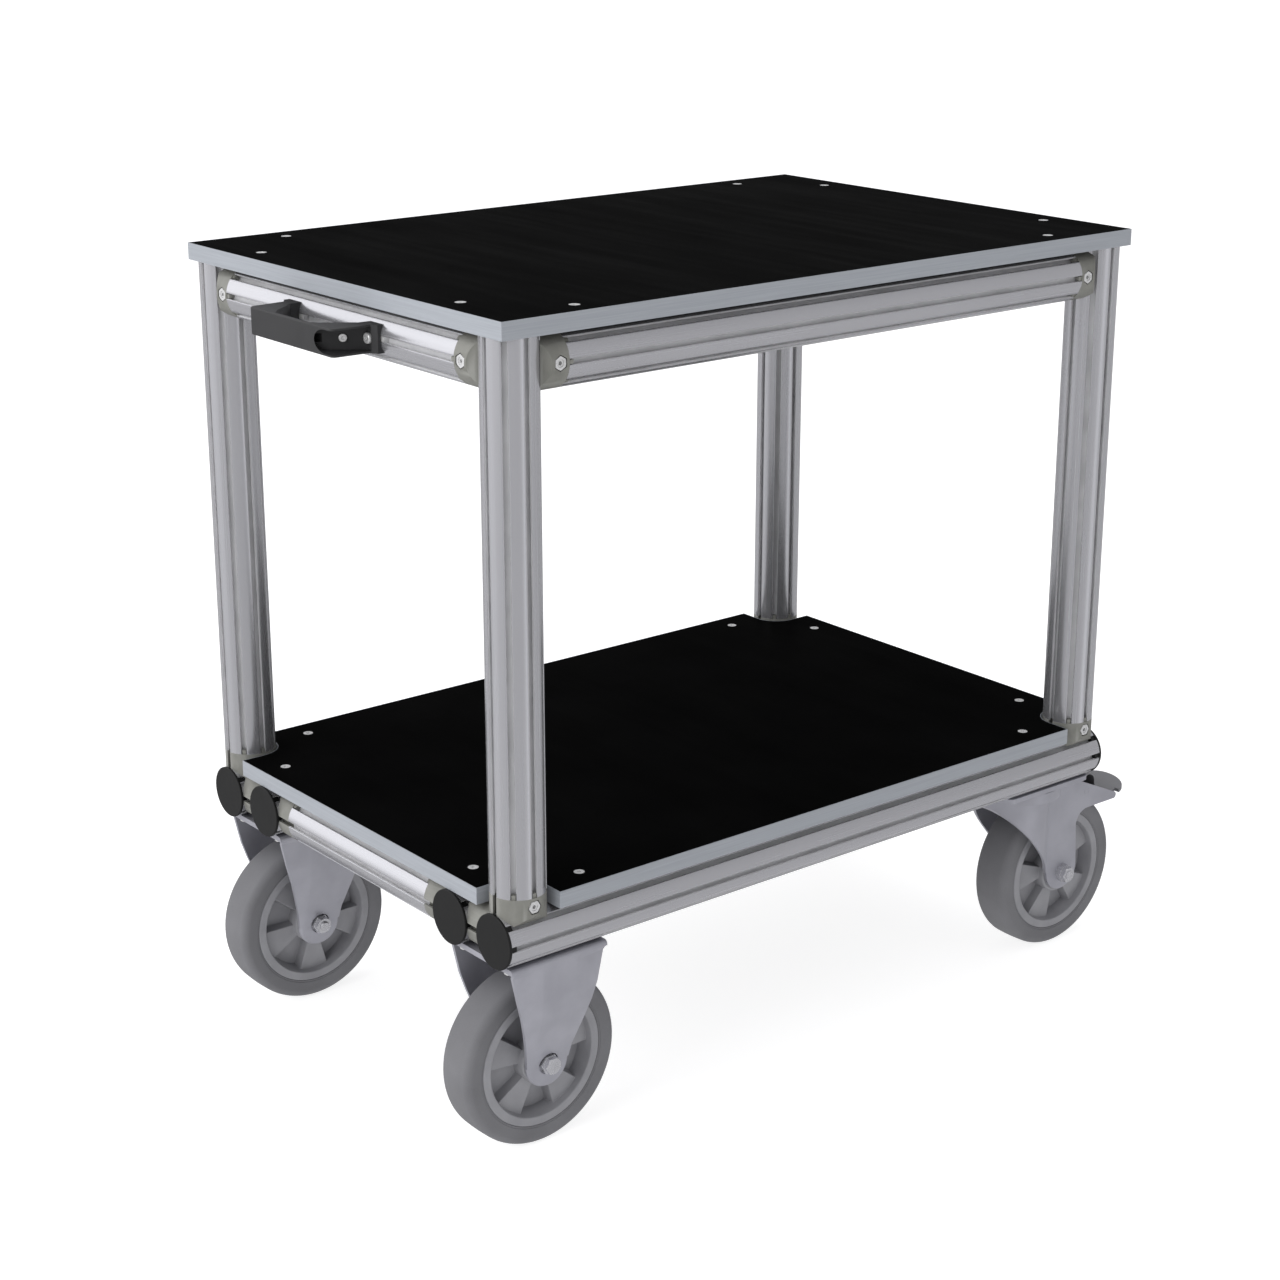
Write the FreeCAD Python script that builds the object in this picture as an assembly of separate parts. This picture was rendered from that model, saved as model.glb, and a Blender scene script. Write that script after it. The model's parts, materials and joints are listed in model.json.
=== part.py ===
import FreeCAD, Part

import math
import os

# Two-shelf platform trolley built from round slotted aluminium profile.
# Millimetres.  X runs along the length, with the push handle at -X; Y runs
# across; Z is up from the floor.  Everything is modelled about the middle of
# the boards and moved at the end, so that the origin lies on the floor under
# the middle of the overall length.

# ---- driving dimensions -------------------------------------------------

board_length = 900.0
board_width = 600.0
board_thickness = 19.0
edge_band = 1.0
top_height = 917.0
shelf_height = 314.0

profile_radius = 30.0
slot_half_opening = 3.1
slot_lip = 0.7
slot_neck_radius = 27.2
slot_floor_radius = 22.5
slot_half_width = 6.2
profile_bore = 5.0
cavity_inner = 9.5
cavity_outer = 20.0
cavity_web = 3.0

post_x = 420.0
post_y = 270.0
inner_rail_y = 190.0
base_rail_z = shelf_height - board_thickness - profile_radius
top_rail_z = top_height - board_thickness - profile_radius

joint_reach = 51.0
clamp_offset = 40.5
hug_clearance = 0.05
key_half_width = 2.2
slide_clearance = 0.05

post_clearance = 2.0
board_screw_end_x = post_x
board_screw_end_y = 190.0
board_screw_side_x = 340.0
board_screw_side_y = 270.0

cap_thickness = 3.0
cap_radius = 30.5

caster_x = 380.0
caster_y = 230.0
wheel_radius = 100.0
axle_height = 100.0
tyre_half_width = 25.0
rim_radius = 77.5
rim_inner_radius = 67.0
rim_half_width = 24.0
hub_radius = 27.5
hub_half_length = 27.0
spoke_count = 5
bearing_radius = 20.0
bearing_width = 12.0
sleeve_radius = 10.0
axle_radius = 6.0
leg_inner = 28.5
leg_thickness = 4.0
leg_outer = leg_inner + leg_thickness
plate_top = base_rail_z - profile_radius
plate_thickness = 6.0
plate_bottom = plate_top - plate_thickness
bolt_pitch_x = 105.0
bolt_pitch_y = 80.0
caster_trail = 54.0
crown_top = 219.0
crown_thickness = 4.5

pedal_hinge_x = 94.0
pedal_hinge_z = 200.0
pedal_reach = 174.0

handle_front = 502.0
handle_height = 29.5
handle_wall = 2.3
handle_screw_y = 77.0

front_end = caster_x + pedal_reach
frame_shift = (handle_front - front_end) / 2

X = FreeCAD.Vector(1, 0, 0)
Y = FreeCAD.Vector(0, 1, 0)
Z = FreeCAD.Vector(0, 0, 1)
ORIGIN = FreeCAD.Vector(0, 0, 0)
ENDS = {"rear": -1, "front": 1}
SIDES = {"right": -1, "left": 1}

os.makedirs("parts", exist_ok=True)


# ---- small helpers ------------------------------------------------------

def vec(x, y, z):
    return FreeCAD.Vector(x, y, z)


def box(low, high):
    size = [h - l for l, h in zip(low, high)]
    return Part.makeBox(size[0], size[1], size[2], vec(*low))


def rod(radius, start, end):
    """Solid cylinder from one point to another."""
    run = end - start
    return Part.makeCylinder(radius, run.Length, start, run)


def tube(outer, inner, start, end):
    run = (end - start).normalize()
    return rod(outer, start, end).cut(rod(inner, start - run, end + run))


def moved(shape, offset):
    copy = shape.copy()
    copy.translate(offset)
    return copy


def turned(shape, axis, degrees, centre=ORIGIN):
    copy = shape.copy()
    copy.rotate(centre, axis, degrees)
    return copy


def mirrored_y(shape):
    return shape.mirror(ORIGIN, Y)


def aimed(shape, along, facing, at):
    """Place a shape modelled along +Z, with its face towards +Y."""
    side = facing.cross(along)
    matrix = FreeCAD.Matrix(
        side.x, facing.x, along.x, at.x,
        side.y, facing.y, along.y, at.y,
        side.z, facing.z, along.z, at.z,
        0, 0, 0, 1)
    copy = shape.copy()
    copy.Placement = FreeCAD.Placement(matrix).multiply(copy.Placement)
    return copy


def prism(points, direction, low, high):
    """Polygon in the plane across direction, extruded from low to high."""
    wire = Part.makePolygon(points + [points[0]])
    solid = Part.Face(wire).extrude(direction * (high - low))
    return moved(solid, direction * low)


def hexagon_prism(across_flats, low, high):
    corner = across_flats / math.sqrt(3)
    angles = [math.radians(60 * k + 30) for k in range(6)]
    points = [vec(corner * math.cos(a), corner * math.sin(a), 0) for a in angles]
    return prism(points, Z, low, high)


def fused(shapes):
    first, rest = shapes[0], shapes[1:]
    return first.multiFuse(rest).removeSplitter()


def export(node, shapes):
    """Write one node, moved to the frame whose origin is under the middle."""
    group = Part.Compound([moved(s, X * frame_shift) for s in shapes])
    shape = group.Solids[0] if len(group.Solids) == 1 else group
    shape.exportStep("parts/" + node + ".step")


# ---- round slotted profile ----------------------------------------------

def slot_edges(angle):
    """One T-slot of the outline, from the outer circle in and out again."""
    opening = slot_half_opening
    shoulder = opening + slot_lip
    rim = math.sqrt(profile_radius ** 2 - shoulder ** 2)
    knee = slot_lip * math.sqrt(0.5)

    def at(radial, across):
        c, s = math.cos(angle), math.sin(angle)
        return vec(radial * c - across * s, radial * s + across * c, 0)

    entry = [at(rim, -shoulder), at(rim - slot_lip + knee, -shoulder + knee)]
    leave = [at(rim - slot_lip + knee, shoulder - knee), at(rim, shoulder)]
    inside = [
        at(rim - slot_lip, -opening),
        at(slot_neck_radius, -opening),
        at(slot_neck_radius, -slot_half_width),
        at(slot_floor_radius, -slot_half_width),
        at(slot_floor_radius, slot_half_width),
        at(slot_neck_radius, slot_half_width),
        at(slot_neck_radius, opening),
        at(rim - slot_lip, opening),
    ]
    edges = [Part.Arc(entry[0], entry[1], inside[0]).toShape()]
    edges += [Part.makeLine(a, b) for a, b in zip(inside, inside[1:])]
    edges.append(Part.Arc(inside[-1], leave[0], leave[1]).toShape())
    return edges, entry[0], leave[1]


def profile_face():
    step = math.radians(45)
    slots = [slot_edges(k * step) for k in range(8)]
    edges = []
    for k in range(8):
        cut, _, leave = slots[k]
        entry = slots[(k + 1) % 8][1]
        middle = (k + 0.5) * step
        crest = vec(math.cos(middle), math.sin(middle), 0) * profile_radius
        edges += cut
        edges.append(Part.Arc(leave, crest, entry).toShape())
    face = Part.Face(Part.Wire(edges))
    ring = Part.Face(Part.Wire(Part.makeCircle(cavity_outer)))
    ring = ring.cut(Part.Face(Part.Wire(Part.makeCircle(cavity_inner))))
    web = Part.makePlane(2 * cavity_outer, cavity_web, vec(-cavity_outer, -cavity_web / 2, 0))
    ring = ring.cut([web, turned(web, Z, 90)])
    bore = Part.Face(Part.Wire(Part.makeCircle(profile_bore)))
    return face.cut([ring, bore])


PROFILE = profile_face()


def bar(start, direction, length):
    """Length of round profile, from start along a main direction."""
    across = Y if abs(direction.x) > 0.5 else X
    solid = PROFILE.Faces[0].extrude(Z * length)
    return aimed(solid, direction, across, start)


def slot_keys(radial_low, radial_high, half_width, low, high, angles):
    key = box((radial_low, -half_width, low), (radial_high, half_width, high))
    return [turned(key, Z, a) for a in angles]


# ---- die-cast end connectors --------------------------------------------

def side_slots(low, high):
    """Cutters for the two T-slots of a casting along Z, on its +X and -X sides."""
    mouth = box((slot_floor_radius, -slot_half_opening, low), (profile_radius + 1, slot_half_opening, high))
    inside = box((slot_floor_radius, -slot_half_width, low), (slot_neck_radius, slot_half_width, high))
    slot = fused([mouth, inside])
    return [slot, turned(slot, Z, 180)]


def connector():
    """Connector along +Z: it hugs a profile lying along X through the origin.

    Mitred at 45 degrees, so that two of them can meet on one post.
    """
    body = rod(profile_radius, ORIGIN, Z * joint_reach)
    wedge = [
        vec(0, 0, slide_clearance),
        vec(0, joint_reach, joint_reach + slide_clearance),
        vec(0, joint_reach, -1),
        vec(0, -joint_reach, -1),
        vec(0, -joint_reach, joint_reach + slide_clearance),
    ]
    below = prism(wedge, X, -joint_reach, joint_reach)
    crossing = rod(profile_radius + hug_clearance, X * -joint_reach, X * joint_reach)
    spigot = rod(profile_bore - slide_clearance, Z * (joint_reach - 1), Z * (joint_reach + 18))
    key_angles = [a for a in range(0, 360, 45) if a % 180]
    keys = slot_keys(23.5, 29.2, key_half_width, joint_reach - 1, joint_reach + 5, key_angles)
    body = body.cut([below, crossing] + side_slots(-1, joint_reach + 1))
    body = fused([body, spigot] + keys)
    recess = aimed(hexagon_prism(14.6, 23.4, profile_radius + 1), Y, X, Z * clamp_offset)
    shaft = rod(4.2, Z * clamp_offset + Y * 7, Z * clamp_offset + Y * 24)
    return body.cut([recess, shaft])


def clamp_screw():
    """Hexagon nut in the connector's recess, and the socket screw inside it."""
    nut = hexagon_prism(12.8, 23.6, 29.3).cut(rod(4.05, Z * 23, Z * 30))
    crown = Part.makeCone(9.4, 6.8, 3.4, Z * 26.0)
    nut = nut.common(fused([rod(9.0, Z * 23, Z * 26.5), crown]))
    screw = rod(4.0, Z * 8, Z * 28.4).cut(hexagon_prism(4.0, 24.4, 29))
    return [aimed(s, Y, X, Z * clamp_offset) for s in (nut, screw)]


def spacer(side):
    """Short cast piece between the inner and outer base rails at x = 0."""
    inner = inner_rail_y * side
    outer = post_y * side
    reach = post_y - inner_rail_y
    body = rod(profile_radius, Y * inner, Y * outer)
    half = reach / 2 - slide_clearance
    outline = [
        vec(0, inner + side * slide_clearance, 0),
        vec(0, inner + side * reach / 2, half),
        vec(0, outer - side * slide_clearance, 0),
        vec(0, inner + side * reach / 2, -half),
    ]
    body = body.common(prism(outline, X, -profile_radius, profile_radius))
    hug = profile_radius + hug_clearance
    rails = [rod(hug, vec(-50, y, 0), vec(50, y, 0)) for y in (inner, outer)]
    slots = [aimed(s, Y, Z, ORIGIN) for s in side_slots(-post_y - reach, post_y + reach)]
    return body.cut(rails + slots)


# ---- boards -------------------------------------------------------------

def slab(top, inset, notched):
    """Board blank, shrunk by inset, with or without the post notches."""
    half_x = board_length / 2 - inset
    half_y = board_width / 2 - inset
    low = top - board_thickness
    blank = box((-half_x, -half_y, low), (half_x, half_y, top))
    if not notched:
        return blank
    hug = profile_radius + post_clearance + inset
    notches = []
    for sx in (-1, 1):
        for sy in (-1, 1):
            post = vec(sx * post_x, sy * post_y, low - 1)
            notches.append(rod(hug, post, post + Z * (board_thickness + 2)))
            for reach_x, reach_y in ((hug, 0), (0, hug)):
                xs = sorted((sx * (post_x - reach_x), sx * board_length))
                ys = sorted((sy * (post_y - reach_y), sy * board_width))
                notches.append(box((xs[0], ys[0], low - 1), (xs[1], ys[1], top + 1)))
    return blank.cut(notches)


def board_screw_places():
    places = []
    for sx in (-1, 1):
        for sy in (-1, 1):
            places.append((sx * board_screw_end_x, sy * board_screw_end_y))
            places.append((sx * board_screw_side_x, sy * board_screw_side_y))
    return places


def countersunk(head_radius, shank_radius, length):
    """Countersunk screw body with its top at the origin, pointing down."""
    head = Part.makeCone(shank_radius, head_radius, head_radius - shank_radius,
                         Z * (shank_radius - head_radius))
    return head.fuse(rod(shank_radius, Z * -length, ORIGIN))


def board(top, notched):
    core = slab(top, edge_band, notched)
    band = slab(top, 0, notched).cut(core)
    hole = countersunk(6.2, 3.3, board_thickness + 1)
    holes = [moved(hole, vec(x, y, top)) for x, y in board_screw_places()]
    return core.cut(holes), band


def board_screws(top):
    screw = countersunk(5.9, 3.0, board_thickness + 6.8)
    screw = screw.cut(hexagon_prism(4.0, -1.2, 1))
    return [moved(screw, vec(x, y, top - 0.2)) for x, y in board_screw_places()]


# ---- slot nuts ----------------------------------------------------------

def slot_nut(half_length):
    """Nut along X in the slot that faces +Z of a profile through the origin."""
    body = box((-half_length, -5.9, 22.7), (half_length, 5.9, 27.0))
    neck = box((-half_length, -2.8, 26.0), (half_length, 2.8, 29.2))
    nut = body.fuse(neck).removeSplitter()
    return nut.cut(rod(3.05, Z * 22, Z * 30))


def board_nuts(rail_z, ends_lengthwise):
    nuts = []
    for x, y in board_screw_places():
        lengthwise = ends_lengthwise or abs(x) < board_screw_end_x
        nut = slot_nut(10.0) if lengthwise else turned(slot_nut(10.0), Z, 90)
        nuts.append(moved(nut, vec(x, y, rail_z)))
    return nuts


def bolt_places():
    return [(sx * bolt_pitch_x / 2, sy * bolt_pitch_y / 2) for sx in (-1, 1) for sy in (-1, 1)]


# ---- wheel --------------------------------------------------------------

def revolved(points):
    """Closed section in the XY plane, x as radius, spun about Y."""
    face = Part.Face(Part.makePolygon(points + [points[0]]))
    return face.revolve(ORIGIN, Y, 360)


def tyre():
    inner, outer, half = rim_radius, wheel_radius, tyre_half_width
    side = rim_half_width - 0.5
    shoulder = outer - 11.0
    crown_edge = half - 9.0
    edges = []
    for s in (-1, 1):
        edges.append(Part.makeLine(vec(inner, s * side, 0), vec(inner + 2, s * side, 0)))
        edges.append(Part.makeLine(vec(inner + 2, s * side, 0), vec(shoulder, s * half, 0)))
        bulge = vec(outer - 3.6, s * (half - 2.9), 0)
        crown = vec(outer - 0.8, s * crown_edge, 0)
        edges.append(Part.Arc(vec(shoulder, s * half, 0), bulge, crown).toShape())
    tread = Part.Arc(vec(outer - 0.8, -crown_edge, 0), vec(outer, 0, 0),
                     vec(outer - 0.8, crown_edge, 0)).toShape()
    edges.append(tread)
    edges.append(Part.makeLine(vec(inner, -side, 0), vec(inner, side, 0)))
    wire = Part.Wire(Part.__sortEdges__(edges))
    return Part.Face(wire).revolve(ORIGIN, Y, 360)


def spoke():
    """Raised tapering rib on both faces of the wheel's web, along +X."""
    half_angle = math.radians(16.5)
    draft = 3.0
    inner, outer = hub_radius - 2, rim_inner_radius + 1
    levels = []
    for sign in (-1, 1):
        base_y = sign * 3.0
        wires = []
        for y_inner, y_outer, spread in ((base_y, base_y, draft), (sign * 19.0, sign * 16.0, 0)):
            corners = []
            for radius, y in ((inner, y_inner), (outer, y_outer)):
                across = radius * math.tan(half_angle) + spread
                corners.append(vec(radius, y, -across))
                corners.append(vec(radius, y, across))
            loop = [corners[0], corners[1], corners[3], corners[2], corners[0]]
            wires.append(Part.makePolygon(loop))
        levels.append(Part.makeLoft(wires, True, True))
    return levels


def rim():
    ring = revolved([
        vec(rim_inner_radius, -rim_half_width + 1, 0),
        vec(rim_inner_radius + 1, -rim_half_width, 0),
        vec(rim_radius - 1, -rim_half_width, 0),
        vec(rim_radius, -rim_half_width + 1, 0),
        vec(rim_radius, rim_half_width - 1, 0),
        vec(rim_radius - 1, rim_half_width, 0),
        vec(rim_inner_radius + 1, rim_half_width, 0),
        vec(rim_inner_radius, rim_half_width - 1, 0),
        vec(rim_inner_radius - 4, 7.0, 0),
        vec(rim_inner_radius - 4, -7.0, 0),
    ])
    web = revolved([
        vec(hub_radius - 2, -8.0, 0),
        vec(rim_inner_radius, -4.0, 0),
        vec(rim_inner_radius, 4.0, 0),
        vec(hub_radius - 2, 8.0, 0),
    ])
    hub = revolved([
        vec(bearing_radius - 4, -hub_half_length, 0),
        vec(hub_radius - 1.5, -hub_half_length, 0),
        vec(hub_radius, -hub_half_length + 2, 0),
        vec(hub_radius, hub_half_length - 2, 0),
        vec(hub_radius - 1.5, hub_half_length, 0),
        vec(bearing_radius - 4, hub_half_length, 0),
    ])
    spokes = []
    for k in range(spoke_count):
        spokes += [turned(s, Y, 360.0 * k / spoke_count) for s in spoke()]
    seat = hub_half_length - bearing_width
    seats = [rod(bearing_radius, Y * (s * seat), Y * (s * 40)) for s in (-1, 1)]
    inside = rod(rim_radius - 0.5, Y * -60, Y * 60)
    body = fused([ring, web, hub] + [s.common(inside) for s in spokes])
    return body.cut(seats)


def bearings():
    """Two ball bearings, each an outer and an inner ring with a shield between."""
    rings = []
    for s in (-1, 1):
        inner_face = s * (hub_half_length - bearing_width)
        outer_face = s * hub_half_length
        body = tube(bearing_radius, sleeve_radius + 0.03, Y * inner_face, Y * outer_face)
        groove = tube(16.8, 13.2, Y * (outer_face - s * 0.6), Y * (outer_face + s))
        rings.append(body.cut(groove))
    return rings


def axle(head_side):
    """Sleeve, bolt, nut and two hexagon spacers, with the bolt head on one side."""
    def across(shape):
        return aimed(shape, Y * head_side, X, ORIGIN)

    spacer_out = leg_outer + 7.0
    hexagon_height = 6.5
    sleeve = tube(sleeve_radius, axle_radius + 0.05, Y * -(leg_inner - 0.05), Y * (leg_inner - 0.05))
    head = hexagon_prism(18.0, spacer_out, spacer_out + hexagon_height)
    head = head.common(Part.makeCone(17.0, 9.0, hexagon_height + 1.6, Z * (spacer_out - 1.6)))
    end = Part.makeCone(axle_radius, axle_radius - 1.5, 1.5, Z * (-spacer_out - hexagon_height - 1), Z * -1)
    shank = rod(axle_radius, Z * (-spacer_out - hexagon_height - 1), Z * (spacer_out + 0.5))
    bolt = fused([shank, head, end])
    nut = hexagon_prism(18.0, -spacer_out - hexagon_height, -spacer_out)
    nut = nut.common(Part.makeCone(9.0, 17.0, hexagon_height + 1.6, Z * (-spacer_out - hexagon_height)))
    nut = nut.cut(rod(axle_radius + 0.02, Z * -60, Z * 0))
    spacers = []
    for low in (leg_outer, -spacer_out):
        blank = hexagon_prism(20.0, low, low + spacer_out - leg_outer)
        spacers.append(blank.cut(rod(axle_radius + 0.05, Z * -60, Z * 60)))
    return [sleeve] + [across(s) for s in [bolt, nut] + spacers]


# ---- fixed caster fork --------------------------------------------------

def fork_leg_section(z, half_width, face, flank_scale):
    """One level of a pressed leg: flat middle, flanks bent in towards the wheel."""
    bend_start = 20.0
    bend_end = 24.0
    slope = 0.16 * flank_scale
    bend_depth = slope / 2 * (bend_end - bend_start)
    edge_depth = bend_depth + slope * (half_width - bend_end)
    half_outline = [(bend_start, face), (bend_end, face - bend_depth), (half_width, face - edge_depth)]
    outside = [(-x, y) for x, y in reversed(half_outline)] + half_outline
    inside = [(x, y - leg_thickness) for x, y in reversed(outside)]
    loop = [vec(x, y, z) for x, y in outside + inside]
    return Part.makePolygon(loop + [loop[0]])


def fixed_fork():
    """Pressed fork with its mounting plate, wheel plane at y = 0, axle at x = 0."""
    top_face = 59.0
    foot_radius = 27.5
    levels = [
        fork_leg_section(plate_bottom + 0.5, 60.5, top_face, 0.0),
        fork_leg_section(224.0, 59.5, top_face, 0.6),
        fork_leg_section(190.0, 52.0, top_face, 0.8),
        fork_leg_section(170.0, 46.0, 56.8, 1.0),
        fork_leg_section(150.0, 40.0, 51.0, 1.0),
        fork_leg_section(130.0, 34.0, 44.3, 1.0),
        fork_leg_section(115.0, 30.0, 38.8, 1.0),
        fork_leg_section(100.0, 27.6, 35.4, 1.0),
        fork_leg_section(axle_height - 30, foot_radius, 33.5, 1.0),
    ]
    leg = Part.makeLoft(levels, True, True)
    foot = rod(foot_radius, vec(0, 0, axle_height), vec(0, 80, axle_height))
    edge_start = vec(0, leg_outer - 9, axle_height)
    rolled_edge = Part.makeCone(foot_radius + 9, foot_radius - 3, 12.0, edge_start, Y)
    seat_radius = 12.5
    seat = rod(seat_radius, vec(0, leg_outer, axle_height), vec(0, 80, axle_height))
    above = box((-80, 0, axle_height), (80, 80, plate_top))
    leg = leg.common(fused([foot.common(rolled_edge), above])).cut(seat)
    plate = box((-62.5, -top_face, plate_bottom), (62.5, top_face, plate_top))
    bends = [e for e in plate.Edges
             if abs(abs(e.CenterOfMass.y) - top_face) < 0.01 and e.CenterOfMass.z > plate_top - 0.01]
    plate = plate.makeFillet(4.5, bends)
    holes = [rod(3.4, vec(x, y, plate_bottom - 1), vec(x, y, plate_top + 1)) for x, y in bolt_places()]
    holes.append(rod(axle_radius + 0.05, vec(0, -90, axle_height), vec(0, 90, axle_height)))
    body = fused([plate, leg, mirrored_y(leg)])
    return body.cut(holes)


# ---- swivel caster ------------------------------------------------------

def bell_plan(inset, low, high):
    """Fork in plan about the swivel axis: round at the front, narrow at the legs."""
    bell_centre = -10.0
    bell_radius = 47.0 - inset
    half = leg_outer - inset
    neck = 24.0 - inset / 4
    tail = 160.0
    outline = [
        vec(bell_centre, -bell_radius, 0),
        vec(neck - 2.8, -half - 1.2, 0),
        vec(neck + 3.0, -half, 0),
        vec(tail, -half, 0),
        vec(tail, half, 0),
        vec(neck + 3.0, half, 0),
        vec(neck - 2.8, half + 1.2, 0),
        vec(bell_centre, bell_radius, 0),
    ]
    front = rod(bell_radius, vec(bell_centre, 0, low), vec(bell_centre, 0, high))
    return fused([front, prism(outline, Z, low, high)])


def fork_side_outline():
    """Side view of the swivel fork, about the swivel axis."""
    top_front = vec(-58, 0, crown_top)
    top_rear = vec(76, 0, crown_top)
    arm_top = vec(148.5, 0, 185.5)
    arm_low = vec(147.5, 0, 177.0)
    arm_root = vec(97, 0, 177.0)
    leg_high = vec(77, 0, 158)
    leg_low = vec(80.5, 0, 104)
    leg_front = vec(26.5, 0, 104)
    bell_low = vec(-58, 0, 207)
    edges = [
        Part.makeLine(top_front, top_rear),
        Part.makeLine(top_rear, arm_top),
        Part.Arc(arm_top, vec(151, 0, 181.2), arm_low).toShape(),
        Part.makeLine(arm_low, arm_root),
        Part.Arc(arm_root, vec(83.3, 0, 171.6), leg_high).toShape(),
        Part.makeLine(leg_high, leg_low),
        Part.Arc(leg_low, vec(53.5, 0, 78), leg_front).toShape(),
        Part.Arc(leg_front, vec(-15, 0, 160), bell_low).toShape(),
        Part.makeLine(bell_low, top_front),
    ]
    face = Part.Face(Part.Wire(edges))
    return moved(face.extrude(Y * 120), Y * -60)


def swivel_fork():
    low = axle_height - 30
    sheet = bell_plan(0, low, crown_top).cut(bell_plan(leg_thickness, low - 1, crown_top + 1))
    sheet = sheet.common(fork_side_outline())
    crown = bell_plan(0, crown_top - crown_thickness, crown_top)
    crown = crown.common(box((-60, -60, 0), (70, 60, crown_top)))
    skirt = tube(54.0, 50.5, Z * (crown_top - crown_thickness), Z * (plate_bottom - 1))
    disc = rod(54.0, Z * (crown_top - crown_thickness), Z * crown_top)
    body = fused([sheet, crown, disc, skirt])
    bores = [
        rod(axle_radius + 0.05, Z * 200, Z * 240),
        rod(axle_radius + 0.05, vec(caster_trail, -50, axle_height), vec(caster_trail, 50, axle_height)),
        rod(4.0, vec(pedal_hinge_x, -50, pedal_hinge_z), vec(pedal_hinge_x, 50, pedal_hinge_z)),
    ]
    return body.cut(bores)


def swivel_plate():
    plate = box((-70, -55, plate_bottom), (70, 55, plate_top))
    corners = [e for e in plate.Edges if abs(e.CenterOfMass.z - (plate_top + plate_bottom) / 2) < 0.01]
    plate = plate.makeFillet(8.0, corners)
    holes = [rod(3.4, vec(x, y, plate_bottom - 1), vec(x, y, plate_top + 1)) for x, y in bolt_places()]
    holes.append(rod(axle_radius, Z * 200, Z * 260))
    return plate.cut(holes)


def kingpin():
    crown_low = crown_top - crown_thickness
    shaft = rod(axle_radius, Z * (crown_low - 9), Z * (plate_top + 1))
    head = Part.makeCone(12.0, 9.0, 3.5, Z * plate_top)
    nut = hexagon_prism(18.0, crown_low - 8.0, crown_low - 1.6)
    washer = rod(12.0, Z * (crown_low - 1.7), Z * (crown_low - 0.05))
    return fused([shaft, head, nut, washer])


def thrust_balls():
    gap = plate_bottom - crown_top
    radius = gap / 2 - 0.05
    count = 16
    balls = []
    for k in range(count):
        angle = math.radians(360.0 * k / count)
        centre = vec(40 * math.cos(angle), 40 * math.sin(angle), crown_top + gap / 2)
        balls.append(Part.makeSphere(radius, centre))
    return balls


def brake_pedal():
    """Cranked lever: barrel on the hinge pin, brake shoe bend, raised foot plate."""
    low, high = vec(0, -40, 0), vec(0, 40, 0)
    side = [(pedal_hinge_x + 1, 194.5), (127, 179.0), (150, 180.0), (180, 193.6),
            (180, 197.8), (150, 184.3), (128.5, 183.3), (pedal_hinge_x + 3, 201.5)]
    sheet = prism([vec(x, 0, z) for x, z in side], Y, low.y, high.y)
    neck = box((pedal_hinge_x - 10, -26, 150), (160, 26, 230))
    oval = Part.Face(Part.Wire(Part.Ellipse(vec(158, 33, 0), vec(pedal_reach, 0, 0), vec(158, 0, 0)).toShape()))
    foot = moved(oval.extrude(Z * 80), Z * 150)
    foot = foot.common(box((156, -40, 150), (pedal_reach, 40, 230)))
    sheet = sheet.common(fused([neck, foot]))
    hinge = vec(pedal_hinge_x, 0, pedal_hinge_z)
    barrel = rod(6.5, hinge - Y * 26, hinge + Y * 26)
    curl_centre = vec(pedal_hinge_x + 10, 0, pedal_hinge_z + 7)
    curl_radius = 12.5
    curl_sheet = 1.8
    curl = tube(curl_radius, curl_radius - curl_sheet, curl_centre - Y * 26, curl_centre + Y * 26)
    curl = curl.common(box((curl_centre.x - 20, -26, curl_centre.z), (curl_centre.x + 20, 26, curl_centre.z + 20)))
    riser_end = curl_centre.x + curl_radius
    riser = box((riser_end - curl_sheet, -26, 188), (riser_end, 26, curl_centre.z))
    return fused([sheet, barrel, curl, riser]).cut(rod(4.05, hinge - Y * 40, hinge + Y * 40))


def pedal_pin():
    hinge = vec(pedal_hinge_x, 0, pedal_hinge_z)
    return rod(4.0, hinge - Y * leg_outer, hinge + Y * leg_outer)


def caster_bolts():
    """Flanged bolts up through a caster plate into the base rails' slot nuts."""
    flange = rod(8.0, Z * (plate_bottom - 1.6), Z * plate_bottom)
    head = hexagon_prism(10.0, plate_bottom - 5.6, plate_bottom - 1.5)
    shank = rod(3.0, Z * (plate_bottom - 1.5), Z * (plate_top + 6.8))
    bolt = fused([shank, flange, head])
    return [moved(bolt, vec(x, y, 0)) for x, y in bolt_places()]


def caster_nuts():
    nut = turned(slot_nut(10.0), X, 180)
    return [moved(nut, vec(x, y, base_rail_z)) for x, y in bolt_places()]


# ---- push handle --------------------------------------------------------

def handle_loop(points, z):
    """Closed outline at height z from (distance behind the middle, half width) pairs."""
    loop = [vec(-x, y, z) for x, y in points] + [vec(-x, -y, z) for x, y in reversed(points)]
    return Part.makePolygon(loop + [loop[0]])


def finger_gap():
    """Opening between the grip and the rail, flared so that the grip's rims are thin."""
    rail_face = post_x + profile_radius
    grip_back = handle_front - 14
    rim_back = handle_front - 3.5
    middle = [(rail_face - 10, 67), (rail_face + 10, 66), (grip_back - 8, 49), (grip_back, 40)]
    rim = [(rail_face - 10, 67), (rail_face + 10, 66), (rim_back - 8, 43), (rim_back, 33)]
    half = handle_height / 2
    wires = [handle_loop(rim, top_rail_z - half - 0.5), handle_loop(middle, top_rail_z - 3),
             handle_loop(middle, top_rail_z + 3), handle_loop(rim, top_rail_z + half + 0.5)]
    return Part.makeLoft(wires, True, True)


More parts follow.
